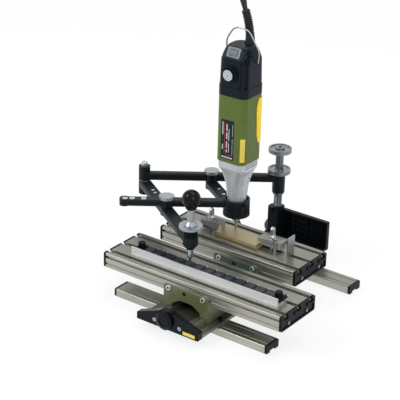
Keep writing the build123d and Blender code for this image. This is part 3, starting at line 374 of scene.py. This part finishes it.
boot_foot = Vector((DRILL[0] + 6.0, DRILL[1] + 9.0, 313.0))
boot_tip = boot_foot + BOOT_LEAN
boot_out = Vector((TIP_BEND * BOOT_LEAN.x, BOOT_LEAN.y, BOOT_LEAN.z)).normalized()
coil_in = coil_point(0) - flat_heading(0) * CORD_D
coil_out = coil_point(COIL_TOTAL) + flat_heading(COIL_TOTAL) * CORD_D
cord_points = [boot_tip, boot_tip + boot_out * STRAIGHT_UP, *[Vector(p) for p in CORD_ROUTE],
               coil_in - flat_heading(0) * STRAIGHT_IN, coil_in]
steps = math.ceil(COIL_TOTAL * POINTS_PER_TURN)
cord_points += [coil_point(COIL_TOTAL * i / steps) for i in range(steps + 1)] + [coil_out]
cord_curve = bpy.data.curves.new("mains_cord", "CURVE")
cord_curve.dimensions = "3D"
cord_curve.bevel_depth = CORD_D / 2 * MM
cord_curve.bevel_resolution = 6
cord_curve.use_fill_caps = True
spline = cord_curve.splines.new("NURBS")
spline.points.add(len(cord_points) - 1)
for point, place in zip(spline.points, cord_points):
    point.co = (*(place * MM), 1.0)
spline.order_u = 3
spline.use_endpoint_u = True
spline.resolution_u = 6
mains_cord = bpy.data.objects.new("mains_cord", cord_curve)
bpy.context.scene.collection.objects.link(mains_cord)
cord_curve.materials.append(rubber_black)
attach(mains_cord, "front_arm_body")
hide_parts("cord_lead", "cord_coil")
print("cord points", len(cord_points))

# %% [markdown]
# ## Small parts and marks
# The frame has the working parts; labels, bushes, hexagon sockets and numerals are added here. The
# hexagon sockets are black hexagons, a painted shade. A block starts as a cube that is scaled in edit
# mode and gets soft edges. A bush starts as an open cylinder that is given a wall. Each is then moved
# in its mesh, so the object stays at the origin. Sizes and places are in millimetres.

# %% Tools for small parts
def shift(x, y, z):
    """A move in millimetres."""
    return Matrix.Translation((x * MM, y * MM, z * MM))


def settle(name, material, matrix, *modifiers):
    """Apply the modifiers, put the mesh in its place and give it its material."""
    piece = bpy.context.active_object
    piece.name = name
    for kind, settings in modifiers:
        modifier = piece.modifiers.new(kind.lower(), kind)
        for key, value in settings.items():
            setattr(modifier, key, value)
        bpy.ops.object.modifier_apply(modifier=modifier.name)
    piece.data.transform(matrix)
    piece.data.materials.clear()
    piece.data.materials.append(material)
    piece.select_set(False)
    return piece


def block(name, size, matrix, material, soft=0.15):
    """Plate or bar with soft edges."""
    bpy.ops.mesh.primitive_cube_add(size=1)
    bpy.ops.object.mode_set(mode="EDIT")
    bpy.ops.mesh.select_all(action="SELECT")
    bpy.ops.transform.resize(value=[v * MM for v in size])
    bpy.ops.object.mode_set(mode="OBJECT")
    return settle(name, material, matrix, ("BEVEL", {"width": soft * MM, "segments": 2}))


def soft_rims(soft):
    """Bevel of the sharp edges, which leaves the round side alone."""
    return ("BEVEL", {"width": soft * MM, "segments": 2, "angle_limit": math.radians(50), "limit_method": "ANGLE"})


def bush(name, outer, inner, tall, matrix, material, sides=40, soft=0.12):
    """Ring with a wall; six sides make a hexagon."""
    bpy.ops.mesh.primitive_cylinder_add(vertices=sides, radius=outer * MM, depth=tall * MM, end_fill_type="NOTHING")
    wall = ("SOLIDIFY", {"thickness": (outer - inner) * MM, "offset": -1.0})
    return settle(name, material, matrix, wall, soft_rims(soft))


def disc(name, radius, tall, matrix, material, soft=0.12):
    """Round plate."""
    bpy.ops.mesh.primitive_cylinder_add(vertices=48, radius=radius * MM, depth=tall * MM)
    return settle(name, material, matrix, soft_rims(soft))


FIGURE_SHARE, LETTER_DEPTH_MM = 0.7, 0.06


def lettering(name, text, tall, matrix, material):
    """Plain numerals as a mesh, about a tenth of a millimetre thick."""
    bpy.ops.object.text_add()
    words = bpy.context.active_object
    words.data.body = text
    words.data.size = tall * MM / FIGURE_SHARE
    words.data.align_x, words.data.align_y = "CENTER", "CENTER"
    words.data.extrude = LETTER_DEPTH_MM * MM
    bpy.ops.object.convert(target="MESH")
    return settle(name, material, matrix)


def together(name, pieces, body):
    """Join pieces that sit on one body, and let them ride on it."""
    for piece in pieces:
        piece.select_set(True)
    bpy.context.view_layer.objects.active = pieces[0]
    if len(pieces) > 1:
        bpy.ops.object.join()
    whole = bpy.context.active_object
    whole.name = name
    whole.select_set(False)
    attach(whole, body)
    print(name, len(whole.data.polygons), "faces on", body)


FRONT = Matrix.Rotation(math.pi / 2, 4, "X")

# %% Labels on the drill's housing
LABEL_Y, PRINT_Y, PRINT_THICK = 99.28, 99.09, 0.12
COLUMNS = (
    (-34.6, 1.3, ((189, 196), (209, 226))), (-28.4, 1.7, ((186, 190), (192, 201), (204, 213), (215, 224))),
    (-25.2, 0.9, ((187, 199), (202, 218))), (-20.0, 0.5, ((184, 206), (209, 225))),
)
label = block("label", (19.4, 0.3, 52.5), shift(-27.7, LABEL_Y, 203.2), label_black)
together("housing_label", [label], "front_arm_body")
bars = [block("bar", (wide, PRINT_THICK, z1 - z0), shift(x, PRINT_Y, (z0 + z1) / 2), label_print, 0.03)
        for x, wide, spans in COLUMNS for z0, z1 in spans]
bars.append(block("bar", (16.5, PRINT_THICK, 1.6), shift(-27.7, PRINT_Y, 179.4), label_print, 0.03))
together("housing_label_print", bars, "front_arm_body")
reds = [block("red", (0.9, PRINT_THICK, 42), shift(-31.8, PRINT_Y, 205), label_red, 0.03),
        block("red", (10, PRINT_THICK, 0.9), shift(-25.0, PRINT_Y, 183.0), label_red, 0.03)]
together("housing_label_red_lines", reds, "front_arm_body")

# %% Yellow label round the housing's corner
CORNER_R, CORNER_HALF_ANGLE, LABEL_TALL = 9.18, 21, 31
bpy.ops.mesh.primitive_cylinder_add(vertices=72, radius=CORNER_R * MM, depth=LABEL_TALL * MM, end_fill_type="NOTHING")
strip = bpy.context.active_object
bpy.ops.object.mode_set(mode="EDIT")
bpy.ops.mesh.select_all(action="DESELECT")
mesh = bmesh.from_edit_mesh(strip.data)
for vert in mesh.verts:
    angle = math.degrees(math.atan2(vert.co.y, vert.co.x))
    vert.select_set(abs(angle + 45) > CORNER_HALF_ANGLE)
mesh.select_flush_mode()
bmesh.update_edit_mesh(strip.data)
bpy.ops.mesh.delete(type="VERT")
bpy.ops.object.mode_set(mode="OBJECT")
foil = ("SOLIDIFY", {"thickness": 0.25 * MM, "offset": -1.0})
strip = settle("strip", label_yellow, shift(-12.5, 108.35, 192.5), foil)
together("housing_yellow_label", [strip], "front_arm_body")

# %% Seam of the two housing halves, on the right side, in a lighter green that is a painted highlight
SEAM_X, SEAM_R = -3.62, 0.3
SEAM = (
    (108.4, 260.3), (108.4, 251.0), (109.6, 245.0), (112.6, 238.3), (120.5, 222.6), (128.1, 206.7),
    (132.6, 195.8), (135.1, 185.5), (135.4, 172.6),
)
bpy.ops.mesh.primitive_circle_add(vertices=6, radius=SEAM_R * MM, fill_type="NGON")
bpy.ops.object.mode_set(mode="EDIT")
bpy.ops.mesh.select_all(action="SELECT")
for (y0, z0), (y1, z1) in zip(SEAM, SEAM[1:]):
    step = (0, (y1 - y0) * MM, (z1 - z0) * MM)
    bpy.ops.mesh.extrude_region_move(TRANSFORM_OT_translate={"value": step})
bpy.ops.mesh.select_all(action="SELECT")
bpy.ops.mesh.normals_make_consistent(inside=False)
bpy.ops.object.mode_set(mode="OBJECT")
# The seam is the same green plastic; its lighter green is a painted highlight along the lip.
seam = settle("seam", seam_painted_highlight, shift(SEAM_X, *SEAM[0]))
together("housing_seam", [seam], "front_arm_body")

# %% Yellow plate on the front end plate
plate = block("plate", (18, 0.4, 4.4), shift(32.4, -55.15, 15.2), label_yellow, 0.12)
together("end_plate_label", [plate], "base")

# %% Speed dial: light face with plain numbers
DIAL_X, DIAL_Z, NUMBER_RING, NUMBER_STEP = -26.6, 289.4, 4.9, 54.0
face = disc("face", 6.9, 0.4, shift(DIAL_X, 94.2, DIAL_Z) @ FRONT, dial_face)
together("dial_light_face", [face], "dial")
marks = []
for i in range(6):
    angle = math.radians(150 - i * NUMBER_STEP)
    spot = shift(DIAL_X + NUMBER_RING * math.cos(angle), 94.0, DIAL_Z + NUMBER_RING * math.sin(angle))
    marks.append(lettering("mark", str(i + 1), 2.2, spot @ FRONT, print_black))
marks.append(block("pointer", (0.7, 0.2, 2.6), shift(DIAL_X, 93.95, DIAL_Z), print_black, 0.05))
together("dial_numbers", marks, "dial")

# %% Switch marks on the rocker: a ring on one side, a bar on the other
SLOPE_RISE, SLOPE_RUN, MARK_OUT = 11.6, 5.7, 2.7
SWITCH = shift(-25.0, 104.4, 316.25) @ Matrix.Rotation(math.atan2(SLOPE_RISE, SLOPE_RUN), 4, "X")
off_mark = bush("off_mark", 1.5, 1.05, 0.3, SWITCH @ shift(-MARK_OUT, 0, 1.98), label_print, 32, 0.04)
on_mark = block("on_mark", (2.4, 0.6, 0.4), SWITCH @ shift(MARK_OUT, 0, 1.4), label_print, 0.05)
together("switch_marks", [off_mark, on_mark], "rocker")

# %% Numerals on the patterns in the middle of the row
FIRST_TILE_X, TILE_STEP, TILE_Y, TILE_TOP = -82.6, 15.25, 13.5, 65.82
digits = []
for i in range(4, 9):
    spot = shift(FIRST_TILE_X + TILE_STEP * i, TILE_Y, TILE_TOP)
    digits.append(lettering("digit", str(i - 3), 9.0, spot, raised_black))
together("pattern_numerals", digits, "front_table_body")

# %% Hexagon sockets of the saddle screws as black hexagons of painted shade, and the set screw between them
TABLE_WIDE, EAR, HEAD = 73, 1.7, 1.33
SCREWS_X, SCREWS_Z, SET_SCREW_X, SET_SCREW_Z = 26, 45.4, -2.5, 43.6
for row, front in (("front", -17.0), ("rear", 87.9)):
    socket_shades_and_set_screws = []
    for x in (-SCREWS_X, SCREWS_X):
        for y in (front - EAR - HEAD, front + TABLE_WIDE + EAR + HEAD):
            # Each socket is a black hexagon on the screw head: painted shade standing for the recess.
            socket_shades_and_set_screws.append(bush("hex", 1.9, 0.3, 1.2, shift(x, y, SCREWS_Z) @ FRONT, black_paint, 6, 0.05))
    for y in (front - EAR, front + TABLE_WIDE + EAR):
        spot = shift(SET_SCREW_X, y, SET_SCREW_Z)
        socket_shades_and_set_screws.append(bush("set_screw", 2.3, 0.9, 0.9, spot @ FRONT, black_paint, 40, 0.15))
    together(f"{row}_saddle_socket_shades_and_set_screws", socket_shades_and_set_screws, f"{row}_saddle_body")

# %% Steel bushes in the spare holes of the arms
def along(start_mm, end_mm, distance):
    """The place at a distance from one pivot towards another; a negative one is behind it."""
    length = math.dist(start_mm, end_mm)
    return tuple(a + (b - a) * distance / length for a, b in zip(start_mm, end_mm))


BUSH_TALL, BUSH_MIDDLE_DOWN = 8.4, 4.35
# Name, two pivots of the arm, distances of the holes, outer and inner radius, top of the arm, body
HOLES = (
    ("front_arm_bushes", PIVOT_C, DRILL, (-29.4, -44.2, -53.2), 3.48, 1.4, 113.75, "front_arm_body"),
    ("left_link_bushes", PIVOT_A, TRACER, (35.3, 43.9), 2.08, 0.9, 102.5, "left_link_body"),
    ("right_link_bushes", PIVOT_B, DRILL, (27.6, 44.2), 2.08, 0.9, 102.5, "right_link_body"),
)
for name, a, b, distances, outer, inner, top, body in HOLES:
    spots = [shift(*along(a, b, d), top - BUSH_MIDDLE_DOWN) for d in distances]
    bushes = [bush("bush", outer, inner, BUSH_TALL, spot, bright_zinc) for spot in spots]
    together(name, bushes, body)
washer = bush("washer", 7.72, 6.2, 0.56, shift(*PIVOT_A, 102.87), brass)
together("pivot_brass_washer", [washer], "rear_arm_body")

# %% Grip ribs on the plug
plug_turn = flat_heading(COIL_TOTAL)
plug_place = Matrix.Rotation(math.atan2(plug_turn.y, plug_turn.x), 4, "Z")
ribs = []
for distance in (25, 28, 31, 34):
    spot = shift(*(coil_out + plug_turn * distance)) @ plug_place @ shift(0, 0, 9.6)
    ribs.append(block("rib", (1.4, 14, 0.9), spot, rubber_black, 0.3))
together("plug_grip_ribs", ribs, "front_arm_body")

# %% [markdown]
# ## Floor and light
# The machine stands on a white ground under soft light. The floor is white with a faint shadow: most
# of what the camera sees of it is its own white, the rest is what the lamps give it. The world is
# plain white where it is seen or mirrored, and softer as a source of light.

# %% Floor
OWN_WHITE, FLOOR_Z = 0.80, -0.0004


def seen_rays(tree):
    """One for rays from the camera, from a mirror or through glass, nought for the others."""
    ray = add(tree, "ShaderNodeLightPath")
    seen = ray.outputs["Is Camera Ray"]
    for kind in ("Is Glossy Ray", "Is Transmission Ray"):
        seen = add(tree, "ShaderNodeMath", {0: seen, 1: ray.outputs[kind]}, operation="MAXIMUM").outputs[0]
    return seen


bpy.ops.mesh.primitive_plane_add(size=12, location=(0, 0, FLOOR_Z))
floor = bpy.context.active_object
floor.name = "floor"
ground = bpy.data.materials.new("white_ground")
ground.use_nodes = True
tree = ground.node_tree
tree.nodes.clear()
paper = add(tree, "ShaderNodeBsdfDiffuse", {"Color": (0.92, 0.92, 0.92, 1)})
glow = add(tree, "ShaderNodeEmission", {"Color": (1, 1, 1, 1), "Strength": 1.0})
share = add(tree, "ShaderNodeMath", {0: seen_rays(tree), 1: OWN_WHITE}, operation="MULTIPLY")
mixed = add(tree, "ShaderNodeMixShader", {0: share.outputs[0], 1: paper.outputs[0], 2: glow.outputs[0]})
add(tree, "ShaderNodeOutputMaterial", {"Surface": mixed.outputs[0]})
floor.data.materials.append(ground)

# %% World and lamps
scene = bpy.context.scene
scene.view_settings.view_transform = "Standard"
world = bpy.data.worlds.new("studio")
scene.world = world
world.use_nodes = True
tree = world.node_tree
tree.nodes.clear()
soft = add(tree, "ShaderNodeBackground", {"Color": (1, 1, 1, 1), "Strength": 0.62})
white = add(tree, "ShaderNodeBackground", {"Color": (1, 1, 1, 1), "Strength": 1.0})
mixed = add(tree, "ShaderNodeMixShader", {0: seen_rays(tree), 1: soft.outputs[0], 2: white.outputs[0]})
add(tree, "ShaderNodeOutputWorld", {"Surface": mixed.outputs[0]})


def softbox(name, place, target, size, watts):
    """A square lamp aimed at a point."""
    data = bpy.data.lights.new(name, "AREA")
    data.size = size
    data.energy = watts
    lamp = bpy.data.objects.new(name, data)
    scene.collection.objects.link(lamp)
    lamp.location = place
    lamp.rotation_euler = (Vector(target) - Vector(place)).to_track_quat("-Z", "Y").to_euler()


AIM = (-0.02, 0.08, 0.12)
softbox("key", (-1.3, -1.5, 1.9), AIM, 1.2, 30)
softbox("fill", (1.8, -0.9, 1.2), AIM, 1.4, 14)
softbox("top", (0.2, 0.6, 2.2), AIM, 1.4, 16)
